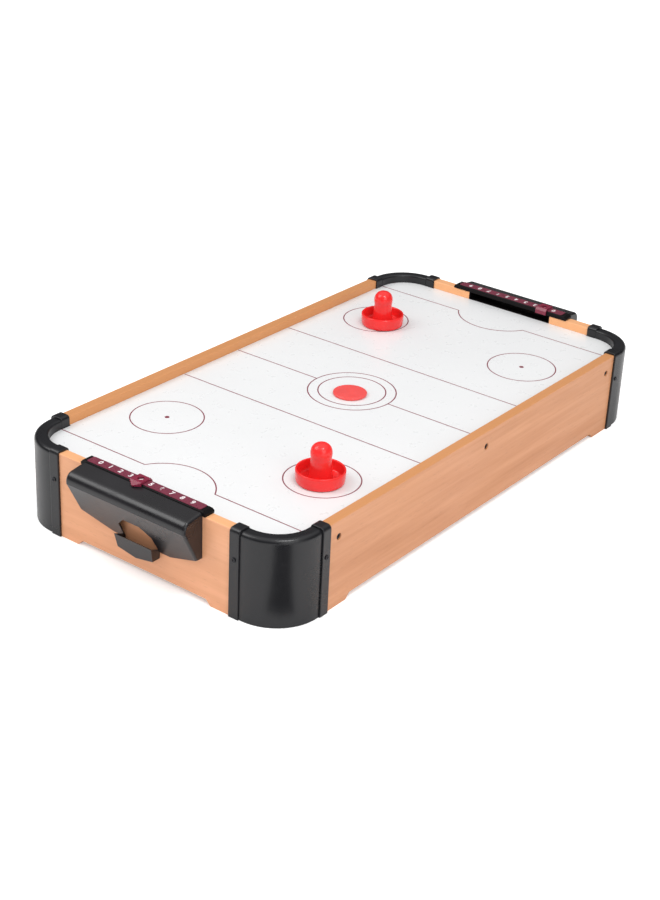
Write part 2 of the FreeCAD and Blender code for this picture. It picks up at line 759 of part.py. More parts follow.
def score_bar(label, side):
    """A bevelled bar on two pegs in the end rail, with a thin surround that lines the goal mouth."""
    profile = [
        ("-bar_inner", "rail_high"), ("-bar_inner", "bar_top - bar_bevel"),
        ("-bar_inner + bar_bevel", "bar_top"), ("bar_outer - bar_bevel", "bar_top"),
        ("bar_outer", "bar_top - bar_bevel"), ("bar_outer", "rail_high"),
    ]
    blank = padded(label + "_blank", "XZ_Plane", profile, "2 * bar_half")
    eased = rounded(label + "_ends", blank, "2.4",
                    lambda e: runs_along(e, Vector(1, 0, 0)) and at_height(e, val("bar_top")),
                    "Part::Chamfer")
    pegs = [rod("%s_peg_%d" % (label, hand + 1), "peg_round", "peg_long", "(bar_outer - bar_inner) / 2",
                "%d * peg_out" % hand, "rail_high - peg_long + 0.1") for hand in (-1, 1)]
    depth = ("-rail_thick", "0")
    span = "mouth_half - sill_gap"
    height = ("deck_top - sill_thick - sill_gap", "rail_high + 1")
    lining = cut(label + "_lining", box(label + "_surround", depth, both(span), height), [
        box(label + "_mouth", ("-rail_thick - 1", "1"), both("%s - sill_thick" % span),
            ("deck_top - sill_gap", "rail_high")),
    ])
    return finish(at_end(fuse(label, [eased, lining] + pegs), side), label)


def score_label(label, side):
    """The thin printed strip on top of a score bar."""
    strip = box(label + "_strip", ("-bar_inner + bar_bevel + 0.2", "bar_outer - bar_bevel - 0.2"),
                both("label_half"),
                ("bar_top", "bar_top + label_thick"))
    eased = rounded(label + "_eased", strip, "1.5", lambda e: runs_along(e, Vector(0, 0, 1)))
    return finish(at_end(eased, side), label)


def score_clip(label, side, mark):
    """A saddle clip over the bar, standing at one of the ten marks."""
    inner_face = "bar_inner + clip_gap"
    outer_face = "bar_outer + clip_gap"
    under = "bar_top + label_thick + clip_gap"
    saddle = [
        ("-(%s) - clip_wall" % inner_face, "rail_high + clip_gap"),
        ("-(%s) - clip_wall" % inner_face, "%s - 1" % under),
        ("-(%s) - clip_wall + 2" % inner_face, "%s + clip_wall" % under),
        ("%s + clip_wall - 1.5" % outer_face, "%s + clip_wall" % under),
        ("%s + clip_wall + 3" % outer_face, "goal_top + clip_gap + 1"),
        ("%s + clip_wall + 3" % outer_face, "goal_top + clip_gap"),
        (outer_face, "goal_top + clip_gap"),
        (outer_face, "bar_top - bar_bevel + 0.6"),
        ("%s - bar_bevel" % outer_face, under),
        ("-(%s) + bar_bevel" % inner_face, under),
        ("-(%s)" % inner_face, "bar_top - bar_bevel + 0.6"),
        ("-(%s)" % inner_face, "rail_high + clip_gap"),
    ]
    blank = padded(label + "_blank", "XZ_Plane", saddle, "2 * clip_half")
    # the outer lip narrows to a pointer, and a round window shows the mark
    trims = [padded("%s_trim_%d" % (label, hand + 1), "XY_Plane", [
        ("bar_outer + clip_gap + 0.4", "%d * clip_half" % hand),
        ("bar_outer + clip_gap + 0.4", "%d * (clip_half + 1)" % hand),
        ("bar_outer + 9", "%d * (clip_half + 1)" % hand),
        ("bar_outer + 9", "%d * 0.8" % hand),
        ("bar_outer + clip_gap + clip_wall + 3", "%d * 0.8" % hand),
    ], "400") for hand in (-1, 1)]
    window = rod(label + "_window", "2.9", "6", "(bar_outer - bar_inner) / 2", "0", "bar_top")
    clip = at_end(cut(label, blank, trims + [window]), side)
    clip.Placement.Base.y = mark * val("mark_step")
    return finish(clip, label)


# clips stand at the marks 4.5 steps and so on from the middle of the ten
for word, side, mark in (("left", -1, 0.5), ("right", 1, -3.5)):
    score_bar("score_bar_" + word, side)
    score_label("score_label_" + word, side)
    score_clip("score_clip_" + word, side, mark)


# ---------------------------------------------------------------- strikers and puck

def striker(label, x, y):
    """A round bowl with a hollow post and a ball knob."""
    profile = [
        ("10.5", "0"), ("bowl_round - 2.1", "0"), ("bowl_round - 0.8", "1.3"),
        ("bowl_round", "bowl_high - 1"), ("bowl_round - 0.6", "bowl_high"), ("bowl_round - 1.6", "bowl_high"),
        ("bowl_round - 2.2", "bowl_high - 0.8"), ("bowl_round - 2.8", "2.8"), ("bowl_round - 3.8", "2.2"),
        ("12.4", "2.2"), ("10.5", "3.6"), ("9.8", "9"), ("9.2", "16"), ("8.8", "knob_up - 4"),
        ("0", "knob_up - 4"), ("0", "18"), ("6.2", "16.5"), ("7.8", "8"),
    ]
    bowl = turned(label + "_bowl", profile)
    knob = doc.addObject("Part::Sphere", label + "_knob")
    bind(knob, "Radius", "knob_round")
    place(knob, "0", "0", "knob_up")
    whole = fuse(label, [bowl, knob])
    whole.Placement = Placement(Vector(x, y, val("deck_top + glide_gap")), Rotation())
    return finish(whole, label)


striker("striker_left", -160, -88)
striker("striker_right", 150, 75)

puck_disc = rod("puck_disc", "puck_round", "puck_high", "0", "0", "0")
puck = rounded("puck", puck_disc, "puck_edge", lambda e: isinstance(e.Curve, Part.Circle))
puck.Placement = Placement(Vector(-6.5, -2.7, val("deck_top + glide_gap")), Rotation())
finish(puck, "puck")


# ---------------------------------------------------------------- fan

def fan_shroud():
    """A short duct with a fixing flange and four spokes to the motor ring."""
    wall_out = "duct_round - 0.2"
    wall_in = "duct_round - duct_wall"
    ring = turned("shroud_ring", [
        (wall_in, "duct_low"), (wall_out, "duct_low"), (wall_out, "floor_low - flange_thick"),
        ("flange_round", "floor_low - flange_thick"), ("flange_round", "floor_low"),
        (wall_out, "floor_low"), (wall_out, "duct_top"), (wall_in, "duct_top"),
    ])
    seat_low = "duct_top - 8"
    seat = turned("shroud_seat", [
        ("motor_round", seat_low), ("motor_round + 2.5", seat_low), ("motor_round + 2.5", "duct_top"),
        ("motor_round", "duct_top"),
    ])
    reach = both("duct_round - 1")
    width = both("spoke_wide / 2")
    up = ("duct_top - spoke_thick", "duct_top")
    arms = [box("shroud_arm_x", reach, width, up), box("shroud_arm_y", width, reach, up)]
    spokes = cut("shroud_spokes", fuse("shroud_arms", arms),
                 [rod("shroud_core", "motor_round + 1", "80", "0", "0", "0")])
    whole = fuse("shroud_whole", [ring, seat, spokes])
    place(whole, "fan_along", "0", "0")
    return finish(cut("fan_shroud", whole, [rod("shroud_bore_%d" % i, "1.4", "10", *fan_spot(i),
                                                "floor_low - 6")
                                            for i in range(4)]), "fan_shroud")


def fan_grille():
    """Rings and bars across the foot of the duct."""
    high = "duct_low - grille_low"
    rings = []
    for number, mid in enumerate((9, 17, 25, 33)):
        outside = rod("grille_out_%d" % number, str(mid + 1), high, "0", "0", "grille_low")
        inside = rod("grille_in_%d" % number, str(mid - 1), "20", "0", "0", "grille_low - 5")
        rings.append(cut("grille_ring_%d" % number, outside, [inside]))
    rim = cut("grille_rim", rod("grille_rim_out", "duct_round - 0.2", high, "0", "0", "grille_low"),
              [rod("grille_rim_in", "duct_round - 4", "20", "0", "0", "grille_low - 5")])
    bars = []
    for number in range(3):
        bar = box("grille_bar_%d" % number, both("duct_round - 2"), both("1.2"), ("grille_low", "duct_low"))
        turn = doc.addObject("Part::Compound", "grille_turn_%d" % number)
        turn.Links = [bar]
        turn.Placement = Placement(Vector(), Rotation(Vector(0, 0, 1), 60 * number))
        bars.append(turn)
    whole = fuse("fan_grille", rings + [rim] + bars)
    place(whole, "fan_along", "0", "0")
    return finish(whole, "fan_grille")


def fan_motor():
    """A small can motor, shaft down, with two solder tabs on top."""
    low = "duct_top - 6"
    can = rod("motor_can", "motor_round", "motor_long", "0", "0", low)
    boss = rod("motor_boss", "3", "1.5", "0", "0", low + " - 1.5")
    tabs = [box("motor_tab_%d" % (hand + 1), both("1"), ("%d * 5 - 0.3" % hand, "%d * 5 + 0.3" % hand),
                (low + " + motor_long - 1", low + " + motor_long + 3")) for hand in (-1, 1)]
    whole = cut("fan_motor", fuse("motor_whole", [can, boss] + tabs),
                [rod("motor_bore", "shaft_round + shaft_gap", "16", "0", "0", low + " - 5")])
    place(whole, "fan_along", "0", "0")
    return finish(whole, "fan_motor")


def fan_rotor():
    """A hub with five pitched blades, pressed on the motor shaft."""
    reach, chord, thick = val("blade_tip"), val("blade_chord"), val("blade_thick")
    middle = val("hub_low + hub_high / 2")
    hub = Part.makeCylinder(val("hub_round"), val("hub_high"), Vector(0, 0, val("hub_low")))
    solid = hub
    for number in range(5):
        blade = Part.makeBox(reach, chord, thick, Vector(val("hub_round") - 2, -chord / 2, -thick / 2))
        blade.rotate(Vector(), Vector(1, 0, 0), val("blade_pitch"))
        blade.translate(Vector(0, 0, middle))
        blade.rotate(Vector(), Vector(0, 0, 1), 72 * number)
        solid = solid.fuse(blade)
    solid = solid.common(Part.makeCylinder(reach, 40, Vector(0, 0, val("hub_low") - 10)))
    bore_foot = Vector(0, 0, val("hub_low") + 3)
    solid = solid.cut(Part.makeCylinder(val("shaft_round"), val("hub_high") - 3, bore_foot))
    rotor = shaped("fan_rotor", solid.removeSplitter())
    rotor.Placement = Placement(Vector(val("fan_along"), 0, 0), Rotation())
    return finish(rotor, "fan_rotor")


fan_shroud()
fan_grille()
fan_motor()
fan_rotor()
finish(rod("motor_shaft", "shaft_round", "duct_top + 4 - hub_low - 3", "fan_along", "0", "hub_low + 3"),
       "motor_shaft")


# ---------------------------------------------------------------- batteries

CASE_X = ("case_along - case_half_long", "case_along + case_half_long")
CASE_Y = both("case_half_wide")
DOOR_TOP = "door_up + door_thick + 0.1"


def battery_case():
    """An open-bottomed tray under the floor, with ears for its screws."""
    outer = box("case_outer", CASE_X, CASE_Y, ("case_low", "floor_low"))
    ears = [box("case_ear_%d" % i, ("%s - 4" % case_spot(i)[0], "%s + 4" % case_spot(i)[0]),
                ("%s - 5" % case_spot(i)[1], "%s + 5" % case_spot(i)[1]),
                ("floor_low - case_wall", "floor_low")) for i in range(4)]
    whole = fuse("case_whole", [outer] + ears)
    inner_x = ("%s + case_wall" % CASE_X[0], "%s - case_wall" % CASE_X[1])
    inner_y = both("case_half_wide - case_wall")
    tools = [
        box("case_inside", inner_x, inner_y, ("case_low - 1", "floor_low - case_wall")),
        box("case_groove", (inner_x[0], "%s + 1" % CASE_X[1]),
            both("case_half_wide - case_wall + door_tongue + 0.3"),
            ("door_up - 0.1", DOOR_TOP)),
        box("case_door_way", ("%s - 5" % CASE_X[1], "%s + 1" % CASE_X[1]), inner_y,
            ("case_low - 1", DOOR_TOP)),
    ]
    tools += [rod("case_bore_%d" % i, "1.4", "10", *case_spot(i), "floor_low - 6") for i in range(4)]
    tools += [rod("case_lead_%d" % i, "2", "10", *spot, "floor_low - 6") for i, spot in enumerate(LEAD_EXITS)]
    return finish(cut("battery_case", whole, tools), "battery_case")


def battery_door():
    """A flat door in two grooves, with ribs for the thumb."""
    plate = box("door_plate", ("%s + case_wall + 0.3" % CASE_X[0], CASE_X[1]),
                both("case_half_wide - case_wall + door_tongue"), ("door_up", "door_up + door_thick"))
    ribs = [box("door_rib_%d" % i, ("%s - %d" % (CASE_X[1], 6 + 3 * i), "%s - %d" % (CASE_X[1], 5 + 3 * i)),
                both("9"), ("door_up - 0.8", "door_up")) for i in range(4)]
    return finish(fuse("battery_door", [plate] + ribs), "battery_door")


CELL_UP = "floor_low - case_wall - cell_round - 0.2"
CELL_START = "case_along - (cell_long + nub_long) / 2"


def battery_cells():
    """Four cells side by side, with their ends alternating."""
    cells = []
    for number in range(4):
        across = "cell_pitch * %s" % (number - 1.5)
        flip = number % 2
        body_start = "%s + %s" % (CELL_START, "nub_long" if flip else "0")
        nub_start = CELL_START if flip else "%s + cell_long" % CELL_START
        can = rod("cell_can_%d" % number, "cell_round", "cell_long", body_start, across, CELL_UP, "x")
        nub = rod("cell_nub_%d" % number, "nub_round", "nub_long", nub_start, across, CELL_UP, "x")
        cells.append(fuse("cell_%d" % number, [can, nub]))
    return finish(group("battery_cells", cells), "battery_cells")


def battery_contacts():
    """A plate behind each cell end; the flat ends get a sprung cone."""
    pieces = []
    for number in range(4):
        across = "cell_pitch * %s" % (number - 1.5)
        for end in (-1, 1):
            wall = "%s + case_wall" % CASE_X[0] if end < 0 else "%s - case_wall - 0.5" % CASE_X[1]
            tag = "%d_%d" % (number, end + 1)
            plate = box("contact_plate_" + tag, (wall, "%s + 0.5" % wall),
                        ("%s - 5" % across, "%s + 5" % across), ("%s - 5" % CELL_UP, "%s + 5" % CELL_UP))
            cone = doc.addObject("Part::Cone", "contact_cone_" + tag)
            flat_end = (number % 2 == 0) == (end < 0)
            bind(cone, "Radius1", "4.5")
            bind(cone, "Radius2", "3" if flat_end else "2")
            if end < 0:
                reach = "(%s) - (%s) - 0.5" % (CELL_START, wall)
                cone.Placement = Placement(Vector(), TURNS["x"])
                place(cone, "%s + 0.5" % wall, across, CELL_UP)
            else:
                reach = "(%s) - (%s) - cell_long - nub_long" % (wall, CELL_START)
                cone.Placement = Placement(Vector(), Rotation(Vector(0, 1, 0), -90))
                place(cone, wall, across, CELL_UP)
            bind(cone, "Height", reach)
            pieces.append(fuse("contact_" + tag, [plate, cone]))
    return finish(group("battery_contacts", pieces), "battery_contacts")


battery_case()
battery_door()
battery_cells()
battery_contacts()


# ---------------------------------------------------------------- switch

PIVOT_UP = "floor_low - 0.5"


def switch_body():
    """A small housing through the floor, with a bezel and two terminals."""
    x = ("-switch_half_long", "switch_half_long")
    y = ("-switch_half_wide", "switch_half_wide")
    housing = box("switch_housing", x, y, ("floor_low", "floor_low + switch_high"))
    bezel = box("switch_bezel", ("-switch_half_long - bezel_proud", "switch_half_long + bezel_proud"),
                ("-switch_half_wide - bezel_proud", "switch_half_wide + bezel_proud"),
                ("floor_low - bezel_thick", "floor_low"))
    tabs = [box("switch_tab_%d" % (hand + 1), ("%d * 4 - 0.3" % hand, "%d * 4 + 0.3" % hand), both("1.2"),
                ("floor_low + switch_high - 1", "floor_low + switch_high + 4")) for hand in (-1, 1)]
    well = box("switch_well", both("rocker_half_long + 0.8"), both("rocker_half_wide + 0.3"),
               ("floor_low - 5", "floor_low + 6"))
    pivot = rod("switch_pivot", "pin_round + 0.05", "11", "0", "-5.5", PIVOT_UP, "y")
    whole = cut("switch_body", fuse("switch_whole", [housing, bezel] + tabs), [well, pivot])
    place(whole, "switch_along", "switch_across", "0")
    return finish(whole, "switch_body")


def switch_rocker():
    """A rocker with two stub pins, resting tipped to its off side."""
    profile = [
        ("-rocker_half_long", "2.6"), ("-rocker_half_long", "-1.4"), ("0", "-2.4"),
        ("rocker_half_long", "-1.4"), ("rocker_half_long", "2.6"),
    ]
    paddle = padded("rocker_paddle", "XZ_Plane", profile, "2 * rocker_half_wide")
    pins = rod("rocker_pins", "pin_round", "10", "0", "-5", "0", "y")
    rocker = fuse("switch_rocker", [paddle, pins])
    rocker.Placement = Placement(Vector(val("switch_along"), val("switch_across"), val(PIVOT_UP)),
                                 Rotation(Vector(0, 1, 0), val("rocker_tilt")))
    return finish(rocker, "switch_rocker")


switch_body()
switch_rocker()


# ---------------------------------------------------------------- leads

def lead(label, points):
    """A round lead along straight runs joined by tangent arcs."""
    route = [Vector(val(x), val(y), val(z)) for x, y, z in points]
    bend = val("lead_bend")
    edges = []
    start = route[0]
    for before, corner, after in zip(route, route[1:], route[2:]):
        came = (corner - before).normalize()
        goes = (after - corner).normalize()
        half_turn = came.getAngle(goes) / 2
        back = bend * math.tan(half_turn)
        first = corner - came * back
        last = corner + goes * back
        toward = (goes - came).normalize()
        middle = corner + toward * (bend / math.cos(half_turn) - bend)
        edges.append(Part.LineSegment(start, first).toShape())
        edges.append(Part.Arc(first, middle, last).toShape())
        start = last
    edges.append(Part.LineSegment(start, route[-1]).toShape())
    path = Part.Wire(edges)
    ring = Part.Wire(Part.makeCircle(val("lead_round"), route[0], route[1] - route[0]))
    tube = path.makePipeShell([ring], True, False)
    ratio = tube.Volume / (math.pi * val("lead_round") ** 2 * path.Length)
    print(label, "length %.1f, volume ratio %.4f" % (path.Length, ratio))
    return finish(shaped(label, tube), label)


TAB_TOP = "floor_low + switch_high + 2"
MOTOR_TAB = "duct_top - 6 + motor_long + 1.5"
lead("lead_battery_switch", [
    (*LEAD_EXITS[0], "floor_low - 4"), (*LEAD_EXITS[0], "floor_low + 20"),
    ("switch_along + 22", "switch_across + 6", "floor_low + 26"),
    ("switch_along + 5.1", "switch_across", "floor_low + 26"),
    ("switch_along + 5.1", "switch_across", TAB_TOP),
])
lead("lead_switch_motor", [
    ("switch_along - 5.1", "switch_across", TAB_TOP),
    ("switch_along - 5.1", "switch_across", "floor_low + 28"),
    ("fan_along + 26", "switch_across + 12", "floor_low + 28"),
    ("fan_along + 18", "-5", MOTOR_TAB), ("fan_along + 1.2", "-5", MOTOR_TAB),
])
lead("lead_battery_motor", [
    (*LEAD_EXITS[1], "floor_low - 4"), (*LEAD_EXITS[1], "floor_low + 22"),
    ("case_along - 70", "cell_pitch * 1.5 + 8", "floor_low + 28"),
    ("fan_along + 20", "5", MOTOR_TAB), ("fan_along + 1.2", "5", MOTOR_TAB),
])


# ---------------------------------------------------------------- check and write

doc.recompute()
broken = [o.Name for o in doc.Objects if "Invalid" in o.State or "Error" in o.State]
for thing in finished:
    if thing.Shape.isNull() or not thing.Shape.isValid() or not thing.Shape.Solids:
        broken.append(thing.Label + " shape")
if broken:
    raise RuntimeError("not written, because these failed: " + ", ".join(broken))

os.makedirs("parts", exist_ok=True)
for thing in finished:
    thing.Shape.exportStep(os.path.join("parts", thing.Label + ".step"))
    print("%-22s solids %2d volume %10.1f" % (thing.Label, len(thing.Shape.Solids), thing.Shape.Volume))
print(len(finished), "sub-parts")
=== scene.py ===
import json
import math

import bmesh
import bpy
from mathutils import Matrix, Vector


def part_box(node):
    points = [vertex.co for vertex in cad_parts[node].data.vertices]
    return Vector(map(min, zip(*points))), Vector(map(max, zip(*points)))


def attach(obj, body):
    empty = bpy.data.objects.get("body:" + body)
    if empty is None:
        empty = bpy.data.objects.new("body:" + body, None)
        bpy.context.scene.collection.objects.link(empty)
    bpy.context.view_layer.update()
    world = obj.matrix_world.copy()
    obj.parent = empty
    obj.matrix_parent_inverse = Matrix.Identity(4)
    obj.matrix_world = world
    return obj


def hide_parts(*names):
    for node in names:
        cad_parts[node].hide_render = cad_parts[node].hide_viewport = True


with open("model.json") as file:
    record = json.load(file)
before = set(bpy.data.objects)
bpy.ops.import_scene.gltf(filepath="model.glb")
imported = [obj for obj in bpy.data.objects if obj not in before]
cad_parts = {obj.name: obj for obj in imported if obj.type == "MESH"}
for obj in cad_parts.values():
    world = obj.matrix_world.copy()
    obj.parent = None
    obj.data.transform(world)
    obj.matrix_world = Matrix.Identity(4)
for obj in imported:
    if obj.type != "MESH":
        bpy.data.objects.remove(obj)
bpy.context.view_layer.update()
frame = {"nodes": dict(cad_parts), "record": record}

MM = 0.001
scene = bpy.context.scene
nodes = frame["nodes"]


# ---------------------------------------------------------------- camera and studio

def turned_camera(azimuth, elevation, roll, distance, target, lens):
    """A camera that looks at target from azimuth and elevation, then rolls about its own axis."""
    a, e, r = (math.radians(v) for v in (azimuth, elevation, roll))
    back = Vector((math.sin(a) * math.cos(e), -math.cos(a) * math.cos(e), math.sin(e)))
    right = (-back).cross(Vector((0, 0, 1))).normalized()
    up = right.cross(-back)
    side = right * math.cos(r) + up * math.sin(r)
    top = up * math.cos(r) - right * math.sin(r)
    data = bpy.data.cameras.new("camera")
    data.lens = lens
    data.sensor_width = 36
    data.clip_start = 0.05
    data.clip_end = 50
    camera = bpy.data.objects.new("camera", data)
    place = Matrix((side, top, back)).transposed().to_4x4()
    place.translation = Vector(target) + back * distance
    camera.matrix_world = place
    scene.collection.objects.link(camera)
    scene.camera = camera


turned_camera(azimuth=-53.509, elevation=26.791, roll=2.734, distance=1.5814,
              target=(0.0020, 0.0233, 0.0011), lens=66.56)

CENTRE = (0, 0, 0)


def softbox(name, spot, size, power):
    """A square white area light aimed at the middle of the table."""
    data = bpy.data.lights.new(name, "AREA")
    data.shape = "SQUARE"
    data.size = size
    data.energy = power
    light = bpy.data.objects.new(name, data)
    light.location = spot
    light.rotation_mode = "QUATERNION"
    light.rotation_quaternion = (Vector(CENTRE) - Vector(spot)).to_track_quat("-Z", "Y")
    scene.collection.objects.link(light)


def white_studio(ambient, low, high, horizon, overhead):
    """A white surround that reflections see as dim below one height and bright above another."""
    world = bpy.data.worlds.new("studio")
    world.use_nodes = True
    nodes_of, links = world.node_tree.nodes, world.node_tree.links
    way = nodes_of.new("ShaderNodeTexCoord")
    split = nodes_of.new("ShaderNodeSeparateXYZ")
    ramp = nodes_of.new("ShaderNodeMapRange")
    ramp.interpolation_type = "SMOOTHSTEP"
    levels = (("From Min", horizon), ("From Max", overhead), ("To Min", low), ("To Max", high))
    for socket, value in levels:
        ramp.inputs[socket].default_value = value
    ray = nodes_of.new("ShaderNodeLightPath")
    choice = nodes_of.new("ShaderNodeMix")
    choice.inputs["A"].default_value = ambient
    links.new(way.outputs["Generated"], split.inputs["Vector"])
    links.new(split.outputs["Z"], ramp.inputs["Value"])
    links.new(ray.outputs["Is Glossy Ray"], choice.inputs["Factor"])
    links.new(ramp.outputs["Result"], choice.inputs["B"])
    links.new(choice.outputs["Result"], nodes_of["Background"].inputs["Strength"])
    nodes_of["Background"].inputs["Color"].default_value = (1, 1, 1, 1)
    scene.world = world


white_studio(ambient=0.80, low=0.08, high=0.9, horizon=0.42, overhead=0.95)
scene.view_settings.view_transform = "Standard"
softbox("key", (-0.75, 0.85, 1.25), size=0.9, power=8)
softbox("top", (-0.38, -0.62, 1.45), size=0.5, power=7)
softbox("front", (-0.9, -1.8, 1.0), size=1.4, power=10)


# ---------------------------------------------------------------- material helpers

class Look:
    """A material whose nodes are added by short calls."""

    def __init__(self, name, **constants):
        self.material = bpy.data.materials.new(name)
        self.material.use_nodes = True
        self.tree = self.material.node_tree
        self.shader = self.tree.nodes["Principled BSDF"]
        for socket, value in constants.items():
            self.shader.inputs[socket.replace("_", " ")].default_value = value

    def add(self, kind, inputs, **settings):
        node = self.tree.nodes.new("ShaderNode" + kind)
        for key, value in settings.items():
            setattr(node, key, value)
        for key, value in inputs.items():
            self.put(node.inputs[key], value)
        return node

    def put(self, socket, value):
        if isinstance(value, bpy.types.NodeSocket):
            self.tree.links.new(value, socket)
        elif isinstance(value, tuple) and len(value) == 3 and socket.type == "RGBA":
            socket.default_value = (*value, 1)
        else:
            socket.default_value = value

    def position(self, scale=(1, 1, 1), turn=(0, 0, 0)):
        spot = self.add("TexCoord", {}).outputs["Object"]
        return self.add("Mapping", {"Vector": spot, "Scale": scale, "Rotation": turn}).outputs["Vector"]

    def noise(self, vector, scale, detail=3.0, roughness=0.5, distortion=0.0):
        return self.add("TexNoise", {"Vector": vector, "Scale": scale, "Detail": detail,
                                     "Roughness": roughness, "Distortion": distortion}).outputs["Fac"]

    def cells(self, vector, scale):
        return self.add("TexVoronoi", {"Vector": vector, "Scale": scale}, feature="F1").outputs["Distance"]

    def spread(self, value, low, high, new_low, new_high):
        """Map one range of a value to another, held at its ends."""
        return self.add("MapRange", {"Value": value, "From Min": low, "From Max": high,
                                     "To Min": new_low, "To Max": new_high}).outputs["Result"]

    def sum(self, a, b, operation="ADD"):
        """Two values added, or joined by another operation; ABSOLUTE uses only the first."""
        return self.add("Math", {0: a, 1: b}, operation=operation).outputs[0]

    def mix(self, factor, a, b, blend="MIX"):
        node = self.add("Mix", {}, data_type="RGBA", blend_type=blend)
        for key, value in ((0, factor), (6, a), (7, b)):
            self.put(node.inputs[key], value)
        return node.outputs[2]

    def facing_up(self):
        """1 where the surface faces straight up, 0 where it is upright."""
        normal = self.add("NewGeometry", {}).outputs["Normal"]
        up = self.add("SeparateXYZ", {"Vector": normal}).outputs["Z"]
        return self.spread(up, 0.6, 0.9, 0.0, 1.0)

    def bump(self, height, distance, strength=1.0, under=None):
        inputs = {"Height": height, "Distance": distance, "Strength": strength}
        if under is not None:
            inputs["Normal"] = under
        return self.add("Bump", inputs).outputs["Normal"]

    def finish(self, **sockets):
        for socket, value in sockets.items():
            self.put(self.shader.inputs[socket.replace("_", " ")], value)
        return self.material


# ---------------------------------------------------------------- materials

def wood_foil(name, grain_axis, inner, pale, dark, edge):
    """A printed beech-like foil: soft bands, short flecks and fine pores along the grain.

    The top edge and the side toward the rink, nearer the middle than inner, take the edge colour.
    """
    look = Look(name, Specular_IOR_Level=0.42)
    along = {"X": (1, 9, 9), "Y": (9, 1, 9)}[grain_axis]
    fine = {"X": (1, 26, 26), "Y": (26, 1, 26)}[grain_axis]
    bands = look.noise(look.position(along), 3.2, 3, 0.55, 1.1)
    drift = look.noise(look.position(), 6, 2)
    streaks = look.noise(look.position(fine), 9, 4, 0.6, 0.3)
    flecks = look.cells(look.position(tuple(v * 3.5 if v > 1 else 11 for v in fine)), 6)
    blend = look.sum(look.spread(bands, 0.36, 0.66, 0, 0.62), look.spread(streaks, 0.35, 0.7, 0, 0.38))
    colour = look.mix(blend, pale, dark)
    colour = look.mix(look.spread(drift, 0.3, 0.7, 0, 0.22), colour, edge)
    speck = look.spread(flecks, 0.05, 0.2, 0.3, 0)
    colour = look.mix(speck, colour, tuple(v * 0.55 for v in dark))
    colour = look.mix(look.sum(look.facing_up(), 0.75, "MULTIPLY"), colour, edge)
    across = look.add("SeparateXYZ", {"Vector": look.position()}).outputs[{"X": "Y", "Y": "X"}[grain_axis]]
    toward_rink = look.spread(look.sum(across, 0.0, "ABSOLUTE"), inner, inner + 0.0006, 0.8, 0.0)
    colour = look.mix(toward_rink, colour, tuple(min(v * 1.15, 1) for v in edge))
    rough = look.spread(streaks, 0.3, 0.7, 0.36, 0.5)
    height = look.sum(streaks, look.sum(speck, -0.6, "MULTIPLY"))
    return look.finish(Base_Color=colour, Roughness=rough, Normal=look.bump(height, 0.00005, 0.6))


GRAIN_SCALE = 1500
GRAIN_HEIGHT = 0.00004


def moulding(name, colour, rough=0.4, fade=1.25, gleam=0.5):
    """Moulded plastic: fine spark-eroded grain, uneven gloss and faint handling marks."""
    look = Look(name, Specular_IOR_Level=gleam)
    spot = look.position()
    pits = look.noise(spot, GRAIN_SCALE, 2, 0.6)
    cloud = look.noise(spot, 14, 3, 0.55)
    rub = look.noise(look.position((1, 1, 6), (0.3, 0.5, 0.2)), 90, 5, 0.7)
    tone = look.mix(look.spread(cloud, 0.3, 0.7, 0, 1), tuple(v / fade for v in colour),
                    tuple(v * fade for v in colour))
    scuffed = look.mix(look.spread(rub, 0.62, 0.8, 0, 0.25), tone, tuple(v * 1.6 + 0.02 for v in colour))
    rough_map = look.sum(look.spread(cloud, 0.3, 0.7, rough - 0.06, rough + 0.06),
                         look.spread(rub, 0.55, 0.8, 0, 0.12))
    return look.finish(Base_Color=scuffed, Roughness=rough_map, Normal=look.bump(pits, GRAIN_HEIGHT, 0.7))


def gloss_plastic(name, colour, rough=0.16, inner=0.0):
    """Polished, slightly see-into plastic with hairline scratches."""
    look = Look(name, Specular_IOR_Level=0.5, Subsurface_Weight=inner, Subsurface_Scale=0.004,
                Subsurface_Radius=(1.0, 0.2, 0.15))
    spot = look.position()
    cloud = look.noise(spot, 55, 3)
    hair = look.noise(look.position((1, 22, 3), (0.4, 0.2, 0.9)), 240, 3, 0.65)
    tone = look.mix(look.spread(cloud, 0.3, 0.7, 0, 1), tuple(v * 0.92 for v in colour),
                    tuple(min(v * 1.06, 1) for v in colour))
    rough_map = look.sum(look.spread(cloud, 0.3, 0.7, rough - 0.03, rough + 0.05),
                         look.spread(hair, 0.62, 0.72, 0, 0.16))
    return look.finish(Base_Color=tone, Roughness=rough_map,
                       Normal=look.bump(look.sum(cloud, hair), 0.00002, 0.5))


def laminate(name):
    """White playing surface: a faint cloudiness and a very slight orange peel."""
    look = Look(name, Specular_IOR_Level=0.5)
    spot = look.position()
    cloud = look.noise(spot, 9, 3)
    peel = look.noise(spot, 150, 1)
    tone = look.mix(look.spread(cloud, 0.3, 0.7, 0, 1), (0.755, 0.76, 0.765), (0.78, 0.785, 0.79))
    rough = look.spread(look.noise(spot, 70, 4, 0.6), 0.3, 0.7, 0.26, 0.33)
    return look.finish(Base_Color=tone, Roughness=rough, Normal=look.bump(peel, 0.00001, 0.2))


def print_ink(name, colour):
    """Screen-printed ink, a little uneven in density."""
    look = Look(name, Specular_IOR_Level=0.45)
    spot = look.position()
    grain = look.noise(spot, 900, 3)
    tone = look.mix(look.spread(grain, 0.3, 0.7, 0, 1), tuple(v * 0.85 for v in colour),
                    tuple(v * 1.2 for v in colour))
    return look.finish(Base_Color=tone, Roughness=look.spread(grain, 0.3, 0.7, 0.25, 0.4))


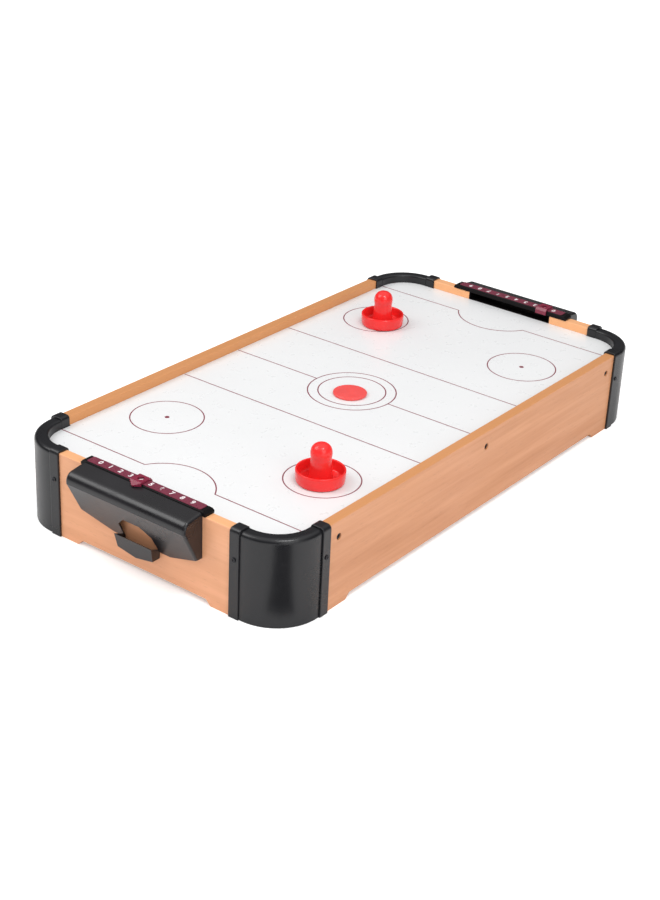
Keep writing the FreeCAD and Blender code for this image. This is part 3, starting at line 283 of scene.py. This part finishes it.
def fibreboard(name):
    """Raw hardboard: matted fibres of several browns."""
    look = Look(name, Specular_IOR_Level=0.25)
    spot = look.position()
    fibre = look.noise(spot, 520, 6, 0.75, 2.0)
    patch = look.noise(spot, 22, 3)
    tone = look.mix(look.spread(fibre, 0.32, 0.7, 0, 1), (0.20, 0.115, 0.058), (0.42, 0.27, 0.155))
    tone = look.mix(look.spread(patch, 0.35, 0.7, 0, 0.35), tone, (0.30, 0.185, 0.10))
    return look.finish(Base_Color=tone, Roughness=look.spread(fibre, 0.3, 0.7, 0.6, 0.85),
                       Normal=look.bump(fibre, 0.00012, 0.6))


def softwood(name):
    """Sawn pine battens with saw marks across the grain."""
    look = Look(name, Specular_IOR_Level=0.3)
    rings = look.noise(look.position((2, 60, 60)), 3, 4, 0.6, 0.8)
    saw = look.add("TexWave", {"Vector": look.position(), "Scale": 260.0, "Distortion": 1.5,
                               "Detail": 2.0}, bands_direction="DIAGONAL").outputs["Fac"]
    tone = look.mix(look.spread(rings, 0.35, 0.65, 0, 1), (0.66, 0.46, 0.26), (0.50, 0.31, 0.15))
    return look.finish(Base_Color=tone, Roughness=look.spread(rings, 0.3, 0.7, 0.6, 0.75),
                       Normal=look.bump(saw, 0.00008, 0.4))


def metal(name, colour, rough=0.3, brushed=(1, 1, 1)):
    """Plated or ground metal with a fine directional scratch and faint stains."""
    look = Look(name, Metallic=1.0)
    lines = look.noise(look.position(brushed), 900, 3, 0.6)
    stain = look.noise(look.position(), 120, 4)
    tone = look.mix(look.spread(stain, 0.45, 0.75, 0, 0.5), colour, tuple(v * 0.6 for v in colour))
    return look.finish(Base_Color=tone, Roughness=look.spread(lines, 0.3, 0.7, rough - 0.08, rough + 0.12),
                       Normal=look.bump(lines, 0.00002, 0.4))


SIDE_WOOD = ((0.64, 0.31, 0.168), (0.50, 0.22, 0.105), (0.58, 0.25, 0.085))
END_WOOD = ((0.84, 0.415, 0.235), (0.69, 0.315, 0.165), (0.80, 0.40, 0.18))
MATERIALS = {
    "deck_laminate": laminate("deck_laminate"),
    "raw_board": fibreboard("raw_board"),
    "batten_wood": softwood("batten_wood"),
    "cap_plastic": moulding("cap_plastic", (0.009, 0.009, 0.011), 0.3, gleam=0.48),
    "goal_plastic": moulding("goal_plastic", (0.011, 0.010, 0.012), 0.3, gleam=0.55),
    "bar_plastic": moulding("bar_plastic", (0.005, 0.004, 0.0045), 0.5, gleam=0.15),
    "label_print": print_ink("label_print", (0.17, 0.028, 0.052)),
    "clip_plastic": gloss_plastic("clip_plastic", (0.22, 0.02, 0.05), 0.22, 0.1),
    "striker_plastic": gloss_plastic("striker_plastic", (0.84, 0.024, 0.024), 0.17, 0.03),
    "puck_plastic": gloss_plastic("puck_plastic", (0.82, 0.085, 0.08), 0.3, 0.2),
    "black_screw": metal("black_screw", (0.05, 0.05, 0.055), 0.35),
    "steel_screw": metal("steel_screw", (0.60, 0.60, 0.61), 0.3),
    "fan_plastic": moulding("fan_plastic", (0.02, 0.02, 0.022), 0.4),
    "rotor_plastic": moulding("rotor_plastic", (0.45, 0.46, 0.48), 0.35, fade=1.05),
    "motor_can": metal("motor_can", (0.66, 0.66, 0.67), 0.25, (1, 1, 12)),
    "shaft_steel": metal("shaft_steel", (0.62, 0.62, 0.62), 0.2, (1, 1, 12)),
    "case_plastic": moulding("case_plastic", (0.018, 0.018, 0.02), 0.42),
    "cell_jacket": gloss_plastic("cell_jacket", (0.04, 0.055, 0.09), 0.25),
    "contact_metal": metal("contact_metal", (0.72, 0.70, 0.64), 0.22),
    "switch_plastic": moulding("switch_plastic", (0.015, 0.015, 0.016), 0.35),
    "rocker_plastic": gloss_plastic("rocker_plastic", (0.5, 0.02, 0.02), 0.25, 0.1),
    "lead_red": gloss_plastic("lead_red", (0.5, 0.02, 0.02), 0.4),
    "lead_black": gloss_plastic("lead_black", (0.02, 0.02, 0.02), 0.4),
}
BY_NODE = {
    "side_rail_front": wood_foil("wood_side", "X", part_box("side_rail_back")[0].y, *SIDE_WOOD),
    "end_rail_left": wood_foil("wood_end", "Y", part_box("end_rail_right")[0].x, *END_WOOD),
}
BY_NODE["side_rail_back"] = BY_NODE["side_rail_front"]
BY_NODE["end_rail_right"] = BY_NODE["end_rail_left"]

for entry in frame["record"]["subparts"]:
    thing = nodes[entry["node"]]
    chosen = BY_NODE.get(entry["node"]) or MATERIALS[entry["material_slot"]]
    for place in thing.material_slots:
        place.material = chosen


# ---------------------------------------------------------------- mesh helpers

def piece(name, shape, material, body, smooth=False):
    """Turns a bmesh into a piece that rides on a CAD body."""
    bmesh.ops.recalc_face_normals(shape, faces=shape.faces)
    mesh = bpy.data.meshes.new(name)
    shape.to_mesh(mesh)
    shape.free()
    mesh.polygons.foreach_set("use_smooth", [smooth] * len(mesh.polygons))
    mesh.materials.append(material)
    thing = bpy.data.objects.new(name, mesh)
    scene.collection.objects.link(thing)
    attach(thing, body)
    return thing


def ribbon(shape, middle, width, low, high, closed=False):
    """A thin flat strip along a line of points on the XY plane."""
    count = len(middle)
    rows = []
    for i, point in enumerate(middle):
        before = middle[i - 1] if i or closed else point
        after = middle[(i + 1) % count] if i + 1 < count or closed else point
        way = (after - before).normalized()
        side = Vector((-way.y, way.x)) * width / 2
        corners = (point + side, point - side)
        rows.append([shape.verts.new((c.x, c.y, z)) for z in (low, high) for c in corners])
    steps = count if closed else count - 1
    for i in range(steps):
        a, b = rows[i], rows[(i + 1) % count]
        for p, q in ((0, 1), (1, 3), (3, 2), (2, 0)):
            shape.faces.new((a[p], a[q], b[q], b[p]))
    if not closed:
        for end in (rows[0], rows[-1]):
            shape.faces.new((end[0], end[1], end[3], end[2]))


def arc(centre, radius, start, end, steps):
    turns = [math.radians(start + (end - start) * i / steps) for i in range(steps + 1)]
    return [Vector((centre[0] + radius * math.cos(t), centre[1] + radius * math.sin(t))) for t in turns]


def lathe(name, profile, spot, material, body, segments=48):
    """A body of revolution, smoothed by subdivision, from a closed radius and height outline."""
    shape = bmesh.new()
    rings = []
    for radius, height in profile:
        z = spot[2] + height * MM
        if radius == 0:
            rings.append([shape.verts.new((spot[0], spot[1], z))])
            continue
        ring = []
        for i in range(segments):
            turn = 2 * math.pi * i / segments
            ring.append(shape.verts.new((spot[0] + radius * MM * math.cos(turn),
                                         spot[1] + radius * MM * math.sin(turn), z)))
        rings.append(ring)
    for a, b in zip(rings, rings[1:]):
        for i in range(segments):
            j = (i + 1) % segments
            corners = [a[i % len(a)], a[j % len(a)], b[j % len(b)], b[i % len(b)]]
            shape.faces.new(list(dict.fromkeys(corners)))
    made = piece(name, shape, material, body, smooth=True)
    smoother = made.modifiers.new("smooth", "SUBSURF")
    smoother.levels = smoother.render_levels = 2
    return made


# ---------------------------------------------------------------- printed rink

deck_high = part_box("deck")[1]
DECK_TOP = deck_high.z
INK = 0.00005
LINE = 0.0011
RED = print_ink("rink_ink", (0.22, 0.035, 0.06))
HALF_PLAY = deck_high.y - 0.0006
CENTRE_RINGS = (0.041, 0.0314)
SPOTS = [(x, y) for x in (-0.156, 0.156) for y in (-0.087, 0.087)]
GOAL_LINE = 0.2355
CREASE_HALF = 0.0388
CREASE_DEEP = 0.0231
GOAL_LINE_SHORT = 0.0008
SPOT_RING = 0.0328
SPOT_DOT = 0.0022
CURVE_STEPS = 128
ZONE_LINE = 0.077


def straight(shape, x, y_from, y_to):
    ribbon(shape, [Vector((x, y_from)), Vector((x, y_to))], LINE, DECK_TOP, DECK_TOP + INK)


lines = bmesh.new()
for x in (-ZONE_LINE, ZONE_LINE):
    straight(lines, x, -HALF_PLAY, HALF_PLAY)
for side in (-1, 1):
    straight(lines, 0, side * CENTRE_RINGS[0], side * HALF_PLAY)
    for end in (-1, 1):
        straight(lines, end * GOAL_LINE, side * CREASE_HALF, side * (HALF_PLAY - GOAL_LINE_SHORT))
crease_round = (CREASE_HALF ** 2 + CREASE_DEEP ** 2) / (2 * CREASE_DEEP)
crease_turn = math.degrees(math.asin(CREASE_HALF / crease_round))
for end in (-1, 1):
    middle = (end * (GOAL_LINE - CREASE_DEEP + crease_round), 0)
    facing = 180 if end > 0 else 0
    ribbon(lines, arc(middle, crease_round, facing - crease_turn, facing + crease_turn, CURVE_STEPS // 2),
           LINE, DECK_TOP, DECK_TOP + INK)
for radius in CENTRE_RINGS:
    ribbon(lines, arc((0, 0), radius, 0, 360, CURVE_STEPS)[:-1], LINE, DECK_TOP, DECK_TOP + INK, True)
for spot in SPOTS:
    ribbon(lines, arc(spot, SPOT_RING, 0, 360, CURVE_STEPS)[:-1], LINE, DECK_TOP, DECK_TOP + INK, True)
piece("rink_lines", lines, RED, "table")

dots = bmesh.new()
for spot in SPOTS:
    ribbon(dots, arc(spot, SPOT_DOT / 2, 0, 360, CURVE_STEPS // 4)[:-1], SPOT_DOT,
           DECK_TOP, DECK_TOP + INK, True)
piece("face_off_dots", dots, RED, "table")


# ---------------------------------------------------------------- score numbers

PALE = print_ink("number_ink", (0.78, 0.72, 0.73))
MARK_STEP = 0.0112
DIGITS = 10
DIGIT_HIGH = 0.0068
DIGIT_BOLD = 0.00022


def digits(name, end):
    """The numbers 0 to 9 in a row on a score label, read from the player's own end."""
    low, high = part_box("score_label_" + end)
    middle = (low + high) / 2
    sign = -1 if end == "left" else 1
    shape = bmesh.new()
    for number in range(DIGITS):
        text = bpy.data.curves.new("digit", "FONT")
        text.body = str(number)
        text.size = DIGIT_HIGH
        text.align_x = "CENTER"
        text.align_y = "CENTER"
        text.extrude = INK / 2
        text.offset = DIGIT_BOLD
        holder = bpy.data.objects.new("digit", text)
        scene.collection.objects.link(holder)
        bpy.context.view_layer.update()
        shown = holder.evaluated_get(bpy.context.evaluated_depsgraph_get())
        mesh = bpy.data.meshes.new_from_object(shown)
        across = sign * (number - (DIGITS - 1) / 2) * MARK_STEP
        mesh.transform(Matrix.Translation((middle.x, across, high.z + INK / 2))
                       @ Matrix.Rotation(math.radians(90 * sign), 4, "Z"))
        shape.from_mesh(mesh)
        bpy.data.objects.remove(holder)
        bpy.data.curves.remove(text)
        bpy.data.meshes.remove(mesh)
    piece(name, shape, PALE, "table")


for end in ("left", "right"):
    digits("score_numbers_" + end, end)


# ---------------------------------------------------------------- strikers

# Radius and height of the outline in millimetres: foot, bowl, dish, post, then the ball knob.
STRIKER = [
    (8.9, 0.3), (9.4, 0), (19.2, 0), (20.2, 0.35), (20.75, 1.4), (21.1, 4), (21.45, 10.2), (21.3, 11.4),
    (20.8, 11.95), (20.0, 11.95), (19.45, 11.4), (19.2, 10.4), (18.95, 4.4), (18.5, 2.9), (17.2, 2.35),
    (12.9, 2.2), (11.4, 2.4), (10.5, 3.4), (10.0, 6.5), (9.6, 11), (9.2, 16), (8.85, 19.6), (8.8, 21.4),
    (9.05, 23.4), (9.4, 26.0), (9.2, 28.9), (8.1, 31.8), (5.9, 34.0), (3.0, 35.25), (0, 35.5),
]
# The hollow under the post, from its roof down to the foot.
STRIKER_UNDER = [(0, 16.2), (4.5, 15.9), (6.6, 14.2), (7.6, 8.0), (8.5, 1.2)]

for end in ("left", "right"):
    low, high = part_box("striker_" + end)
    spot = ((low.x + high.x) / 2, (low.y + high.y) / 2, low.z)
    handle = lathe("striker_body_" + end, STRIKER_UNDER + STRIKER, spot, MATERIALS["striker_plastic"],
                   "striker_" + end)
    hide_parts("striker_" + end)


# ---------------------------------------------------------------- floor

FLOOR_REACH = 8
FLOOR_GLOW = 0.3


def studio_floor():
    """A matt white floor, lifted toward white for the camera only."""
    look = Look("studio_floor", Specular_IOR_Level=0.2, Emission_Color=(1, 1, 1, 1))
    seen = look.add("LightPath", {}).outputs["Is Camera Ray"]
    look.finish(Emission_Strength=look.sum(seen, FLOOR_GLOW, "MULTIPLY"))
    soft = look.noise(look.position(), 3, 2)
    tone = look.mix(look.spread(soft, 0.3, 0.7, 0, 1), (0.955, 0.955, 0.955), (0.975, 0.975, 0.975))
    material = look.finish(Base_Color=tone, Roughness=look.spread(soft, 0.3, 0.7, 0.75, 0.85))
    mesh = bpy.data.meshes.new("floor")
    corners = [(x * FLOOR_REACH, y * FLOOR_REACH, 0) for x, y in ((-1, -1), (1, -1), (1, 1), (-1, 1))]
    mesh.from_pydata(corners, [], [(0, 1, 2, 3)])
    mesh.materials.append(material)
    floor = bpy.data.objects.new("floor", mesh)
    scene.collection.objects.link(floor)


studio_floor()


CARD_LIFT = 0.0005


def dark_card(name, start, way, wide, length):
    """A dark card just above the floor, wider at its far end, that only reflections see."""
    side = Vector((-way[1], way[0], 0)).normalized() * wide / 2
    near = Vector((*start, CARD_LIFT))
    far = near + Vector((*way, 0)).normalized() * length
    mesh = bpy.data.meshes.new(name)
    corners = [near - side * 0.5, near + side * 0.5, far + side * 1.5, far - side * 1.5]
    mesh.from_pydata(corners, [], [(0, 1, 2, 3)])
    look = Look(name, Base_Color=(0.05, 0.05, 0.05, 1), Roughness=0.9)
    mesh.materials.append(look.material)
    card = bpy.data.objects.new(name, mesh)
    scene.collection.objects.link(card)
    for ray in ("camera", "diffuse", "shadow", "transmission", "volume_scatter"):
        setattr(card, "visible_" + ray, False)


dark_card("corner_card", start=(-0.282, -0.150), way=(-0.53, -0.72), wide=0.10, length=0.24)
